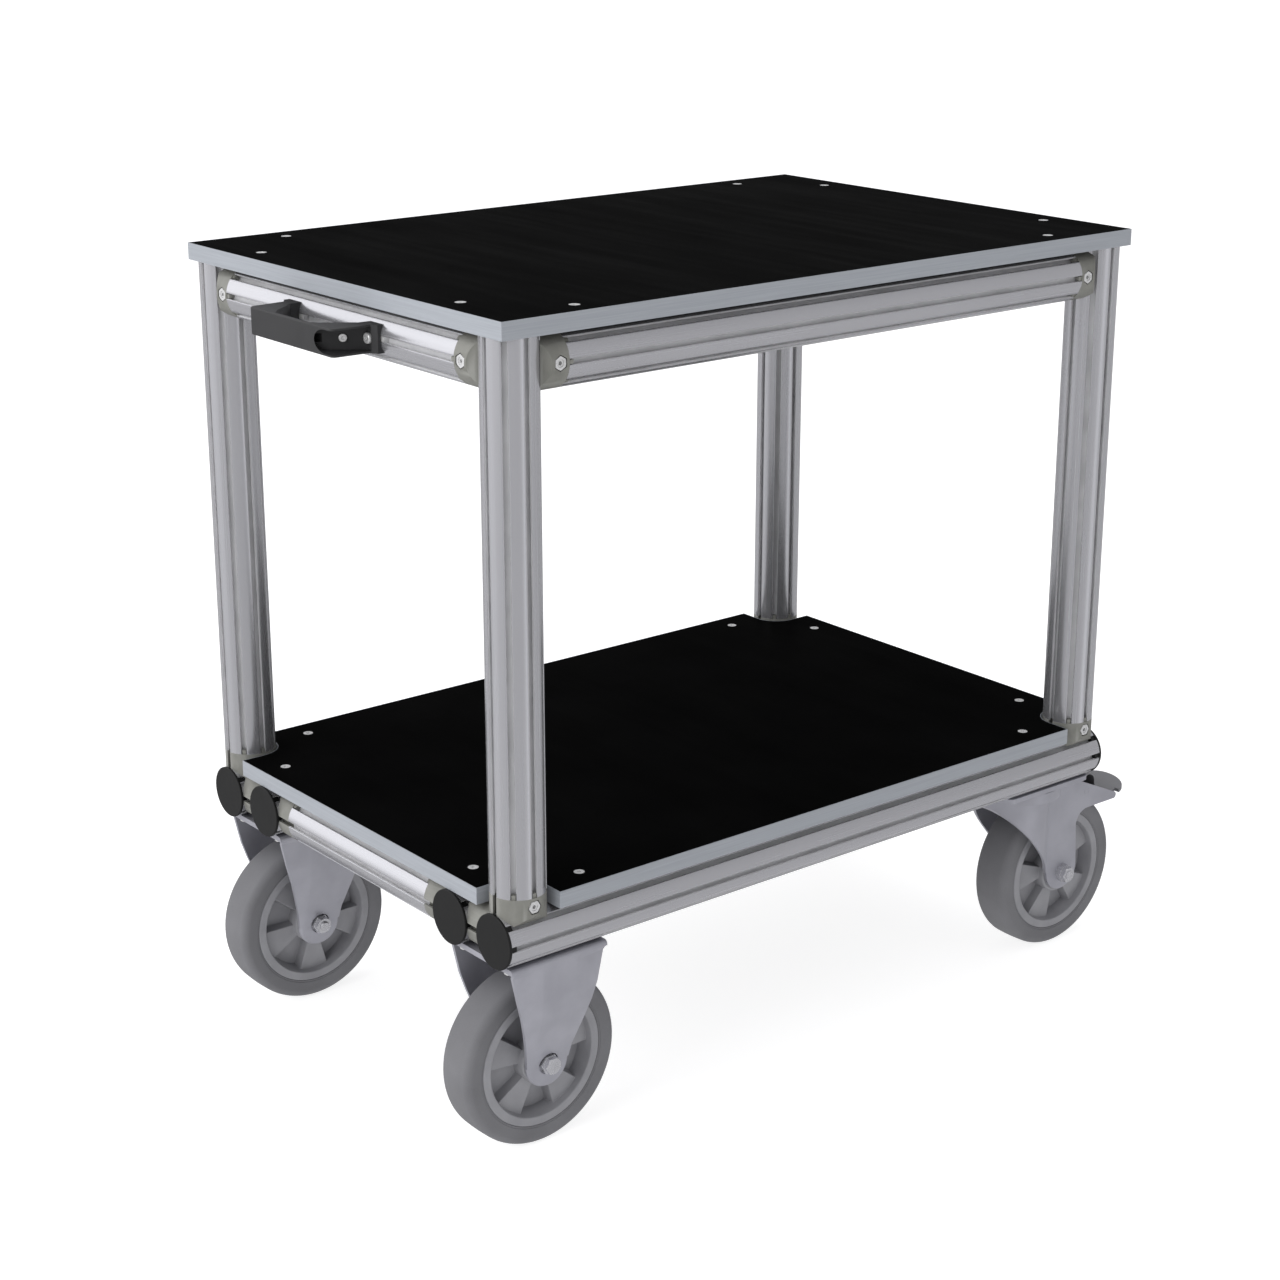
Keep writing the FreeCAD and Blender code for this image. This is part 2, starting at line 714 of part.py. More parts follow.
def handle_pocket(side):
    """Hollow of one leg, opening at the slanting corner, with the screw seat."""
    inner_half = handle_height / 2 - handle_wall
    lean = math.atan2(0.6, 0.8)
    floor = 332.0
    left, right = -373.4, -315.4
    block = box((left + inner_half, -400, -inner_half), (right, -floor, inner_half))
    nose = rod(inner_half, vec(left + inner_half, -400, 0), vec(left + inner_half, -floor, 0))
    pocket = turned(fused([block, nose]), Z, -math.degrees(lean))
    pocket = moved(pocket, Z * top_rail_z)
    behind = box((-profile_radius - post_x - 5.5, -200, 800), (0, 200, 950))
    pocket = pocket.cut(behind)
    if side > 0:
        pocket = pocket.cut(box((-handle_front, -200, 800), (-handle_front + 2.5, 0, 950)))
    seat_y = -handle_screw_y
    seat = rod(6.4, vec(-(post_x + profile_radius + 5.5), seat_y, top_rail_z),
               vec(-(post_x + profile_radius + 22), seat_y, top_rail_z))
    hole = rod(3.3, vec(-500, seat_y, top_rail_z), vec(-400, seat_y, top_rail_z))
    screw = grip_screw_axis()
    pilot = rod(2.0, screw[0] - screw[1] * 4, screw[0] + screw[1] * 4)
    shape = fused([pocket, seat, hole, pilot])
    return shape if side < 0 else mirrored_y(shape)


def grip_screw_axis():
    """Seat and outward direction of the small screw in the right leg's floor."""
    outward = vec(-0.6, -0.8, 0)
    along = vec(0.8, -0.6, 0)
    seat = outward * 332.0 + along * -344.6 + Z * top_rail_z
    return seat, outward


def push_handle():
    rail_face = post_x + profile_radius
    half = handle_height / 2
    outline = [(rail_face - 4, 90.5), (rail_face + 3.5, 90.5), (rail_face + 7, 83), (handle_front, 81)]
    outside = Part.Face(handle_loop(outline, top_rail_z - half)).extrude(Z * handle_height)
    corners = [e for e in outside.Edges
               if abs(e.CenterOfMass.x + handle_front) < 0.01 and abs(e.CenterOfMass.y) > 70
               and abs(e.CenterOfMass.z - top_rail_z) < 0.01]
    outside = outside.makeFillet(6.0, corners)
    rims = [e for e in outside.Edges
            if abs(abs(e.CenterOfMass.z - top_rail_z) - half) < 0.01
            and e.CenterOfMass.x < -rail_face - 8 and e.Length > 5]
    outside = outside.makeFillet(1.6, rims)
    hollow = box((-handle_front + 3, -46, top_rail_z - 4.5), (-handle_front + 10, 46, top_rail_z + 4.5))
    rail = rod(profile_radius + hug_clearance, vec(-post_x, -150, top_rail_z), vec(-post_x, 150, top_rail_z))
    return outside.cut([finger_gap(), hollow, rail, handle_pocket(-1), handle_pocket(1)])


def handle_screws():
    seat_x = -(post_x + profile_radius + 5.5)
    head = rod(5.8, ORIGIN, Z * 3.6)
    head = head.makeFillet(1.2, [e for e in head.Edges if e.CenterOfMass.z > 3.5])
    head = head.cut(hexagon_prism(4.0, 1.4, 5))
    shank = rod(3.0, Z * -12.6, Z * 0.5)
    mounting = aimed(fused([head, shank]), X * -1, Z, ORIGIN)
    small = fused([rod(4.2, ORIGIN, Z * 2.6), rod(1.95, Z * -3.4, Z * 0.5)])
    small = small.cut(hexagon_prism(3.0, 1.2, 5))
    seat, outward = grip_screw_axis()
    small = aimed(small, outward, Z, seat)
    screws = [moved(mounting, vec(seat_x, -handle_screw_y, top_rail_z)), small]
    return screws + [mirrored_y(s) for s in screws]


def handle_nuts():
    nut = turned(turned(slot_nut(17.0), Z, 90), Y, -90)
    return [moved(nut, vec(-post_x, s * handle_screw_y, top_rail_z)) for s in (-1, 1)]


# ---- rail end caps ------------------------------------------------------

def end_cap():
    """Plastic cap along +Z on the end of a profile, fingers down its slots."""
    disc = rod(cap_radius, ORIGIN, Z * cap_thickness)
    lip = [e for e in disc.Edges if e.CenterOfMass.z > cap_thickness - 0.01]
    disc = disc.makeFillet(1.0, lip)
    spigot = rod(profile_bore - slide_clearance, Z * -14, Z * 0.5)
    keys = slot_keys(23.5, 28.8, slot_half_opening - 0.1, -7, 0.5, range(0, 360, 45))
    return fused([disc, spigot] + keys)


# ---- assembly -----------------------------------------------------------

def build_boards():
    for name, top, notched in (("top_board", top_height, False), ("shelf_board", shelf_height, True)):
        core, band = board(top, notched)
        export(name, [core])
        export(name + "_edge", [band])
    export("board_screws", board_screws(top_height) + board_screws(shelf_height))


def build_frame():
    foot_z = base_rail_z + joint_reach
    for end, sx in ENDS.items():
        for side, sy in SIDES.items():
            foot = vec(sx * post_x, sy * post_y, foot_z)
            export("post_" + end + "_" + side, [bar(foot, Z, top_height - board_thickness - foot_z)])
    long_span = post_x - joint_reach
    short_span = post_y - joint_reach
    cross_span = inner_rail_y - joint_reach
    half = board_length / 2
    for side, sy in SIDES.items():
        export("top_rail_" + side, [bar(vec(-long_span, sy * post_y, top_rail_z), X, 2 * long_span)])
        export("base_rail_outer_" + side, [bar(vec(-half, sy * post_y, base_rail_z), X, 2 * half)])
        export("base_rail_inner_" + side, [bar(vec(-half, sy * inner_rail_y, base_rail_z), X, 2 * half)])
    for end, sx in ENDS.items():
        export("top_rail_" + end, [bar(vec(sx * post_x, -short_span, top_rail_z), Y, 2 * short_span)])
        export("base_cross_rail_" + end, [bar(vec(sx * post_x, -cross_span, base_rail_z), Y, 2 * cross_span)])


def build_connectors():
    cast = connector()
    screw = clamp_screw()
    places = {"top_rail_connectors": [], "post_foot_connectors": [], "base_cross_connectors": []}
    for sx in (-1, 1):
        for sy in (-1, 1):
            corner = vec(sx * post_x, sy * post_y, top_rail_z)
            places["top_rail_connectors"].append((X * -sx, Y * sy, corner))
            places["top_rail_connectors"].append((Y * -sy, X * sx, corner))
            foot = vec(sx * post_x, sy * post_y, base_rail_z)
            places["post_foot_connectors"].append((Z, Y * sy, foot))
            crossing = vec(sx * post_x, sy * inner_rail_y, base_rail_z)
            places["base_cross_connectors"].append((Y * -sy, Z * -1, crossing))
    screws = []
    for node, spots in places.items():
        export(node, [aimed(cast, *spot) for spot in spots])
        for spot in spots:
            screws += [aimed(s, *spot) for s in screw]
    export("clamp_screws", screws)
    spacers = [moved(spacer(sy), vec(sx * post_x, 0, base_rail_z)) for sx in (-1, 1) for sy in (-1, 1)]
    export("base_rail_spacers", spacers)


def build_trim():
    caps = []
    for sy in (-1, 1):
        for y in (inner_rail_y, post_y):
            for sx in (-1, 1):
                end = vec(sx * board_length / 2, sy * y, base_rail_z)
                caps.append(aimed(end_cap(), X * sx, Y, end))
    export("rail_end_caps", caps)
    export("push_handle", [push_handle()])
    export("handle_screws", handle_screws())
    nuts = board_nuts(top_rail_z, False) + board_nuts(base_rail_z, True) + handle_nuts()
    bolts = []
    for sx in (-1, 1):
        for sy in (-1, 1):
            at = vec(sx * caster_x, sy * caster_y, 0)
            nuts += [moved(n, at) for n in caster_nuts()]
            bolts += [moved(b, at) for b in caster_bolts()]
    export("slot_nuts", nuts)
    export("caster_bolts", bolts)


def build_wheel(name, centre, head_side, spin):
    export(name + "_tyre", [moved(tyre(), centre)])
    export(name + "_rim", [moved(turned(rim(), Y, spin), centre)])
    export(name + "_bearings", [moved(b, centre) for b in bearings()])
    export(name + "_axle", [moved(s, centre) for s in axle(head_side)])


def build_casters():
    wheel_spin = {"rear_right": -16.0, "rear_left": 18.0, "front_right": -33.0, "front_left": -50.0}
    for side, sy in SIDES.items():
        name = "rear_" + side
        at = vec(-caster_x, sy * caster_y, 0)
        export(name + "_fork", [moved(fixed_fork(), at)])
        build_wheel(name, at + Z * axle_height, sy, wheel_spin[name])
        name = "front_" + side
        at = vec(caster_x, sy * caster_y, 0)
        export(name + "_swivel_plate", [moved(swivel_plate(), at)])
        export(name + "_kingpin", [moved(kingpin(), at)])
        export(name + "_swivel_balls", [moved(b, at) for b in thrust_balls()])
        export(name + "_fork", [moved(swivel_fork(), at)])
        export(name + "_brake_pedal", [moved(brake_pedal(), at)])
        export(name + "_pedal_pin", [moved(pedal_pin(), at)])
        build_wheel(name, at + X * caster_trail + Z * axle_height, -sy, wheel_spin[name])


build_boards()
build_frame()
build_connectors()
build_trim()
build_casters()
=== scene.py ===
import json
import math

import bmesh
import bpy
from mathutils import Matrix, Vector


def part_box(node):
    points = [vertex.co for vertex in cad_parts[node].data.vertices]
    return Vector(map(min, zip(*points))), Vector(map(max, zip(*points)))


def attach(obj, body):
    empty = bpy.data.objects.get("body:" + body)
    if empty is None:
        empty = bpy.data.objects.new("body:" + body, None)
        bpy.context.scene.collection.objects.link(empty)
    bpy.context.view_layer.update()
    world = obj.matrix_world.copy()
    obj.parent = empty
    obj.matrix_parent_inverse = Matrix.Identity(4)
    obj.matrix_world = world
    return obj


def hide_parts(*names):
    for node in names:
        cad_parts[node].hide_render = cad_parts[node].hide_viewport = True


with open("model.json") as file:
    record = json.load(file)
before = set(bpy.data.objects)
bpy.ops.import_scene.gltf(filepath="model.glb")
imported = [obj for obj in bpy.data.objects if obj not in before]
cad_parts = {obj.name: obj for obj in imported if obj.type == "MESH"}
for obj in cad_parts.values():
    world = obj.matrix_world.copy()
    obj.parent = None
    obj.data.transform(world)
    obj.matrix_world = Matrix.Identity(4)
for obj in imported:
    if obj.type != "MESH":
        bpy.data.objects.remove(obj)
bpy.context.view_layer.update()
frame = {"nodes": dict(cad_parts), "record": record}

# Two-shelf platform trolley of round slotted aluminium profile.
# Every shown piece is rebuilt round its CAD node, rides on that node's body and
# replaces it.  Metres, in the frame of the CAD.

RECORD = frame["record"]
BODY_OF = {node: body for body, nodes in RECORD["behaviour"]["bodies"].items() for node in nodes}
SLOT_OF = {row["node"]: row["material_slot"] for row in RECORD["subparts"]}
MM = 0.001

# Section of the profile, in millimetres
PROFILE_RADIUS = 30.0
SLOT_HALF_OPENING = 3.1
SLOT_LIP = 0.7
SLOT_NECK_RADIUS = 27.2
SLOT_FLOOR_RADIUS = 22.5
SLOT_HALF_WIDTH = 6.2
PROFILE_BORE = 5.0
CAVITY_INNER = 9.5
CAVITY_OUTER = 20.0
CAVITY_HALF_WEB = 1.5

# Section of the tyre, in millimetres
TYRE_SEAT_RADIUS = 77.5
TYRE_RADIUS = 100.0
TYRE_HALF_WIDTH = 25.0
TYRE_SEAT_HALF_WIDTH = 23.5
TYRE_SHOULDER = 9.0
TYRE_SHOULDER_DROP = 0.5
TYRE_CROWN_DROP = 0.12
TYRE_CROWN_HALF_WIDTH = 7.0

CAMERA_PLACE = (-1.8416, -2.2036, 1.3702)
CAMERA_TILT = math.radians(71.8)
CAMERA_TURN = math.radians(-38.86)
CAMERA_LENS = 70.41
CAMERA_SENSOR = 36.0
CAMERA_REACH = 1500.0

FLOOR_HALF_SIZE = 400.0
FLOOR_DROP = 0.0004
FLOOR_GLOW = 0.78
AMBIENT = 0.52

# Edges sharper than this, in degrees, stay crisp or are rounded
CREASE_ANGLE = 32
BAR_CREASE_ANGLE = 30
TYRE_CREASE_ANGLE = 40
LATHE_STEPS = 160


# ---- node materials -----------------------------------------------------

def linear(*srgb):
    """Linear colour from 8-bit sRGB values."""
    parts = []
    for value in srgb:
        share = value / 255
        parts.append(share / 12.92 if share <= 0.04045 else ((share + 0.055) / 1.055) ** 2.4)
    return (*parts, 1.0)


class Finish:
    """A material with its node tree, and short ways to add and join nodes."""

    def __init__(self, name, colour, metallic, roughness, specular=0.5):
        self.material = bpy.data.materials.new(name)
        self.material.use_nodes = True
        self.nodes = self.material.node_tree.nodes
        self.links = self.material.node_tree.links
        self.surface = self.nodes["Principled BSDF"]
        self.surface.inputs["Base Color"].default_value = colour
        self.surface.inputs["Metallic"].default_value = metallic
        self.surface.inputs["Roughness"].default_value = roughness
        self.surface.inputs["Specular IOR Level"].default_value = specular
        self.place = self.nodes.new("ShaderNodeTexCoord").outputs["Object"]

    def join(self, source, target):
        self.links.new(source, target)

    def stretched(self, scale):
        """Object coordinates scaled differently along each axis."""
        mapping = self.nodes.new("ShaderNodeMapping")
        mapping.inputs["Scale"].default_value = scale
        self.join(self.place, mapping.inputs["Vector"])
        return mapping.outputs["Vector"]

    def noise(self, scale, detail, vector=None):
        node = self.nodes.new("ShaderNodeTexNoise")
        node.inputs["Scale"].default_value = scale
        node.inputs["Detail"].default_value = detail
        self.join(vector or self.place, node.inputs["Vector"])
        return node.outputs["Fac"]

    def cells(self, scale):
        node = self.nodes.new("ShaderNodeTexVoronoi")
        node.inputs["Scale"].default_value = scale
        self.join(self.place, node.inputs["Vector"])
        return node.outputs["Distance"]

    def ramp(self, value, low, high, start=0.0, end=1.0):
        """Maps value from start..end to low..high."""
        node = self.nodes.new("ShaderNodeMapRange")
        node.inputs["From Min"].default_value = start
        node.inputs["From Max"].default_value = end
        node.inputs["To Min"].default_value = low
        node.inputs["To Max"].default_value = high
        self.join(value, node.inputs["Value"])
        return node.outputs["Result"]

    def blended(self, share, first, second):
        """Colour between first and second by share."""
        node = self.nodes.new("ShaderNodeMix")
        node.data_type = "RGBA"
        node.inputs["A"].default_value = first
        node.inputs["B"].default_value = second
        self.join(share, node.inputs["Factor"])
        return node.outputs["Result"]

    def tinted(self, share, colour, second):
        """An existing colour mixed towards second by share."""
        node = self.nodes.new("ShaderNodeMix")
        node.data_type = "RGBA"
        node.inputs["B"].default_value = second
        self.join(colour, node.inputs["A"])
        self.join(share, node.inputs["Factor"])
        return node.outputs["Result"]

    def painted_edge_highlight(self, start, end):
        """Mask for a painted highlight: high on convex edges, low on flats and in hollows."""
        point = self.nodes.new("ShaderNodeNewGeometry")
        return self.ramp(point.outputs["Pointiness"], 0.0, 1.0, start, end)

    def colour(self, output):
        self.join(output, self.surface.inputs["Base Color"])

    def roughness(self, output):
        self.join(output, self.surface.inputs["Roughness"])

    def bump(self, height, strength, distance, normal=None):
        node = self.nodes.new("ShaderNodeBump")
        node.inputs["Strength"].default_value = strength
        node.inputs["Distance"].default_value = distance
        self.join(height, node.inputs["Height"])
        if normal is not None:
            self.join(normal, node.inputs["Normal"])
        self.join(node.outputs["Normal"], self.surface.inputs["Normal"])
        return node.outputs["Normal"]


def anodised(name, axis):
    """Drawn and anodised aluminium, with die lines along the bar's axis."""
    finish = Finish(name, linear(196, 196, 200), 0.8, 0.3)
    fine = [900.0, 900.0, 900.0]
    broad = [160.0, 160.0, 160.0]
    fine[axis] = 3.0
    broad[axis] = 1.2
    lines = finish.noise(1.0, 3.0, finish.stretched(fine))
    bands = finish.noise(1.0, 2.0, finish.stretched(broad))
    clouds = finish.noise(9.0, 3.0)
    colour = finish.blended(finish.ramp(bands, 0.0, 1.0, 0.3, 0.7),
                            linear(192, 192, 196), linear(197, 197, 201))
    finish.colour(finish.tinted(finish.ramp(clouds, 0.0, 0.15, 0.45, 0.75), colour, linear(186, 186, 190)))
    finish.roughness(finish.ramp(lines, 0.245, 0.275, 0.3, 0.7))
    finish.bump(lines, 0.01, 0.0002)
    return finish.material


def slot_inside_painted_light():
    """A lighter, duller copy of the anodised metal inside the slots: painted light that fills the shade
    there.
    """
    finish = Finish("slot_inside_painted_light", linear(206, 206, 208), 0.1, 0.6, 0.3)
    clouds = finish.noise(30.0, 2.0)
    finish.colour(finish.blended(finish.ramp(clouds, 0.0, 1.0, 0.3, 0.7),
                                 linear(198, 198, 200), linear(212, 212, 214)))
    finish.roughness(finish.ramp(clouds, 0.52, 0.66, 0.3, 0.7))
    return finish.material


def cast_metal():
    """Warm grey die casting with a hammered, slightly sparkling skin."""
    finish = Finish("cast_metal", linear(124, 124, 117), 0.35, 0.5)
    grain = finish.noise(1400.0, 2.0)
    pits = finish.cells(900.0)
    clouds = finish.noise(60.0, 3.0)
    colour = finish.blended(finish.ramp(clouds, 0.0, 1.0, 0.35, 0.65),
                            linear(116, 116, 110), linear(128, 128, 122))
    # Convex edges painted a lighter grey: a painted highlight along the edges.
    finish.colour(finish.tinted(finish.painted_edge_highlight(0.52, 0.6), colour, linear(150, 150, 145)))
    finish.roughness(finish.ramp(grain, 0.38, 0.6, 0.3, 0.7))
    normal = finish.bump(pits, 0.25, 0.0004)
    finish.bump(grain, 0.35, 0.0003, normal)
    return finish.material


def laminate():
    """Near-black laminate with a fine pearl texture."""
    finish = Finish("laminate", linear(10, 10, 10), 0.0, 0.5)
    finish.surface.inputs["IOR"].default_value = 1.015
    pearl = finish.noise(2600.0, 1.0)
    scuffs = finish.noise(1.0, 4.0, finish.stretched((40.0, 3.0, 40.0)))
    clouds = finish.noise(7.0, 3.0)
    finish.colour(finish.blended(finish.ramp(clouds, 0.0, 1.0, 0.3, 0.7),
                                 linear(8, 8, 8), linear(12, 12, 12)))
    finish.roughness(finish.ramp(scuffs, 0.4, 0.52, 0.3, 0.7))
    finish.bump(pearl, 0.18, 0.0003)
    return finish.material


def edge_banding():
    """Pale blue-grey plastic edge band."""
    finish = Finish("edge_banding", linear(150, 154, 160), 0.0, 0.55, 0.3)
    streaks = finish.noise(1.0, 2.0, finish.stretched((12.0, 12.0, 900.0)))
    grain = finish.noise(1800.0, 1.0)
    finish.colour(finish.blended(finish.ramp(streaks, 0.0, 1.0, 0.3, 0.7),
                                 linear(145, 149, 155), linear(154, 158, 164)))
    finish.roughness(finish.ramp(grain, 0.42, 0.58, 0.3, 0.7))
    finish.bump(grain, 0.1, 0.0002)
    return finish.material


def zinc_sheet(name, dark, light, metallic):
    """Pressed steel with a zinc coat, faintly clouded, between two greys."""
    finish = Finish(name, light, metallic, 0.42)
    spangle = finish.cells(240.0)
    clouds = finish.noise(28.0, 4.0)
    grain = finish.noise(2200.0, 1.0)
    colour = finish.blended(finish.ramp(clouds, 0.0, 1.0, 0.35, 0.65), dark, light)
    finish.colour(finish.tinted(finish.ramp(spangle, 0.1, 0.0, 0.0, 0.9), colour, dark))
    finish.roughness(finish.ramp(clouds, 0.36, 0.46, 0.3, 0.7))
    finish.bump(grain, 0.15, 0.0002)
    return finish.material


def plated(name, dark, light, metallic, roughness):
    """Machined and zinc-plated screws, nuts and bolts, between two greys."""
    finish = Finish(name, light, metallic, roughness)
    marks = finish.noise(500.0, 3.0)
    clouds = finish.noise(90.0, 2.0)
    finish.colour(finish.blended(finish.ramp(clouds, 0.0, 1.0, 0.35, 0.65), dark, light))
    finish.roughness(finish.ramp(marks, roughness - 0.05, roughness + 0.05, 0.3, 0.7))
    finish.bump(marks, 0.04, 0.0002)
    return finish.material


def rubber():
    """Grey rubber, matt, with a light bloom and a fine moulded grain."""
    finish = Finish("rubber", linear(108, 108, 111), 0.0, 0.72, 0.3)
    grain = finish.noise(1500.0, 2.0)
    bloom = finish.noise(22.0, 4.0)
    colour = finish.blended(finish.ramp(bloom, 0.0, 1.0, 0.3, 0.7),
                            linear(103, 103, 106), linear(113, 113, 116))
    finish.colour(finish.tinted(finish.ramp(grain, 0.0, 0.3, 0.45, 0.75), colour, linear(126, 126, 130)))
    finish.roughness(finish.ramp(bloom, 0.64, 0.8, 0.3, 0.7))
    finish.bump(grain, 0.3, 0.0004)
    return finish.material


def polyamide():
    """Grey moulded wheel centre, satin."""
    finish = Finish("polyamide", linear(138, 138, 142), 0.0, 0.5, 0.4)
    grain = finish.noise(1100.0, 2.0)
    flow = finish.noise(36.0, 3.0)
    colour = finish.blended(finish.ramp(flow, 0.0, 1.0, 0.3, 0.7),
                            linear(132, 132, 136), linear(144, 144, 148))
    # Convex edges painted a paler grey: a painted highlight along the edges.
    finish.colour(finish.tinted(finish.painted_edge_highlight(0.53, 0.62), colour, linear(164, 164, 168)))
    finish.roughness(finish.ramp(flow, 0.44, 0.58, 0.3, 0.7))
    finish.bump(grain, 0.15, 0.0003)
    return finish.material


def black_plastic(name, colour, roughness):
    """Black moulded plastic with a spark-eroded texture."""
    finish = Finish(name, colour, 0.0, roughness, 0.25)
    grain = finish.cells(1300.0)
    flow = finish.noise(40.0, 2.0)
    lighter = tuple(1.35 * part for part in colour[:3]) + (1.0,)
    finish.colour(finish.blended(finish.ramp(flow, 0.0, 1.0, 0.3, 0.7), colour, lighter))
    finish.roughness(finish.ramp(flow, roughness - 0.06, roughness + 0.06, 0.3, 0.7))
    finish.bump(grain, 0.25, 0.0002)
    return finish.material


MATERIALS = {
    "profile_x": anodised("anodised_x", 0),
    "profile_y": anodised("anodised_y", 1),
    "profile_z": anodised("anodised_z", 2),
    "slot_inside_painted_light": slot_inside_painted_light(),
    "casting": cast_metal(),
    "board": laminate(),
    "edge_band": edge_banding(),
    "fork_steel": zinc_sheet("zinc_sheet", linear(160, 160, 168), linear(170, 170, 178), 0.45),
    "pedal": zinc_sheet("pedal_sheet", linear(124, 124, 127), linear(134, 134, 137), 0.4),
    "fastener": plated("bright_zinc", linear(208, 208, 208), linear(220, 220, 220), 0.5, 0.3),
    "axle_bolt": plated("axle_zinc", linear(196, 196, 200), linear(206, 206, 210), 0.75, 0.25),
    "bearing": plated("bearing_steel", linear(188, 188, 192), linear(200, 200, 204), 0.8, 0.3),
    "tyre": rubber(),
    "rim": polyamide(),
    "end_cap": black_plastic("cap_plastic", linear(18, 18, 18), 0.5),
    "handle": black_plastic("handle_plastic", linear(44, 44, 45), 0.5),
}


# ---- mesh helpers -------------------------------------------------------

def added(name, mesh):
    piece = bpy.data.objects.new(name, mesh)
    bpy.context.scene.collection.objects.link(piece)
    return piece


def stand_for(piece, node, material):
    """The piece gets its material, rides on the node's body and replaces it."""
    piece.data.materials.clear()
    piece.data.materials.append(MATERIALS[material])
    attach(piece, BODY_OF[node])
    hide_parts(node)


def smoothed(mesh, degrees):
    """Smooth shading, with edges sharper than the given angle kept crisp."""
    mesh.shade_smooth()
    mesh.set_sharp_from_angle(angle=math.radians(degrees))


def rounded(piece, width):
    """A small radius on every edge sharper than the crease angle, and flat faces kept flat."""
    bevel = piece.modifiers.new("rounding", "BEVEL")
    bevel.width = width
    bevel.segments = 2
    bevel.limit_method = "ANGLE"
    bevel.angle_limit = math.radians(CREASE_ANGLE)
    bevel.miter_outer = "MITER_ARC"
    flats = piece.modifiers.new("flat_faces", "WEIGHTED_NORMAL")
    flats.keep_sharp = True
    flats.weight = 80


def refined(node, radius):
    """A node's own solid, with clean faces and rounded edges."""
    mesh = frame["nodes"][node].data.copy()
    edit = bmesh.new()
    edit.from_mesh(mesh)
    bmesh.ops.remove_doubles(edit, verts=edit.verts, dist=2e-6)
    bmesh.ops.dissolve_limit(edit, angle_limit=math.radians(0.6), verts=edit.verts, edges=edit.edges)
    edit.to_mesh(mesh)
    edit.free()
    smoothed(mesh, CREASE_ANGLE)
    piece = added(node + "_shown", mesh)
    rounded(piece, radius)
    return piece


def lathed(name, section, centre):
    """Closed section of (radius, along) points spun about the Y axis through centre."""
    edit = bmesh.new()
    rings = []
    for k in range(LATHE_STEPS):
        angle = math.tau * k / LATHE_STEPS
        c, s = math.cos(angle), math.sin(angle)
        rings.append([edit.verts.new((centre[0] + r * MM * c, centre[1] + y * MM, centre[2] + r * MM * s))
                      for r, y in section])
    count = len(section)
    for k in range(LATHE_STEPS):
        here, there = rings[k], rings[(k + 1) % LATHE_STEPS]
        for i in range(count):
            j = (i + 1) % count
            edit.faces.new((here[i], here[j], there[j], there[i]))
    bmesh.ops.recalc_face_normals(edit, faces=edit.faces)
    mesh = bpy.data.meshes.new(name)
    edit.to_mesh(mesh)
    edit.free()
    return added(name, mesh)


def arc(centre, radius, start, end, steps):
    """Points of an arc, angles in degrees."""
    points = []
    for k in range(steps + 1):
        angle = math.radians(start + (end - start) * k / steps)
        points.append((centre[0] + radius * math.cos(angle), centre[1] + radius * math.sin(angle)))
    return points


# ---- slotted bars -------------------------------------------------------

def slot_outline():
    """One slot facing +X, from its lower lip to its upper lip."""
    shoulder = SLOT_HALF_OPENING + SLOT_LIP
    rim = math.sqrt(PROFILE_RADIUS ** 2 - shoulder ** 2)
    lower = arc((rim - SLOT_LIP, -shoulder), SLOT_LIP, 0, 90, 4)
    lower += [(SLOT_NECK_RADIUS, -SLOT_HALF_OPENING), (SLOT_NECK_RADIUS, -SLOT_HALF_WIDTH),
              (SLOT_FLOOR_RADIUS, -SLOT_HALF_WIDTH)]
    return lower + [(x, -y) for x, y in reversed(lower)]


def profile_loops():
    """Outer outline of the profile, and the loops of its hollows."""
    turned = []
    for k in range(8):
        angle = math.radians(45 * k)
        c, s = math.cos(angle), math.sin(angle)
        turned.append([(x * c - y * s, x * s + y * c) for x, y in slot_outline()])
    outer = []
    for k in range(8):
        outer += turned[k]
        leave = math.degrees(math.atan2(turned[k][-1][1], turned[k][-1][0]))
        entry = math.degrees(math.atan2(turned[(k + 1) % 8][0][1], turned[(k + 1) % 8][0][0]))
        outer += arc((0, 0), PROFILE_RADIUS, leave, leave + (entry - leave) % 360, 8)[1:-1]
    hollows = [arc((0, 0), PROFILE_BORE, 0, 345, 23)]
    for k in range(4):
        quarter = 90 * k
        inner_gap = math.degrees(math.asin(CAVITY_HALF_WEB / CAVITY_INNER))
        outer_gap = math.degrees(math.asin(CAVITY_HALF_WEB / CAVITY_OUTER))
        loop = arc((0, 0), CAVITY_OUTER, quarter + outer_gap, quarter + 90 - outer_gap, 8)
        loop += arc((0, 0), CAVITY_INNER, quarter + 90 - inner_gap, quarter + inner_gap, 6)
        hollows.append(loop)
    return [outer] + hollows


PROFILE_LOOPS = profile_loops()


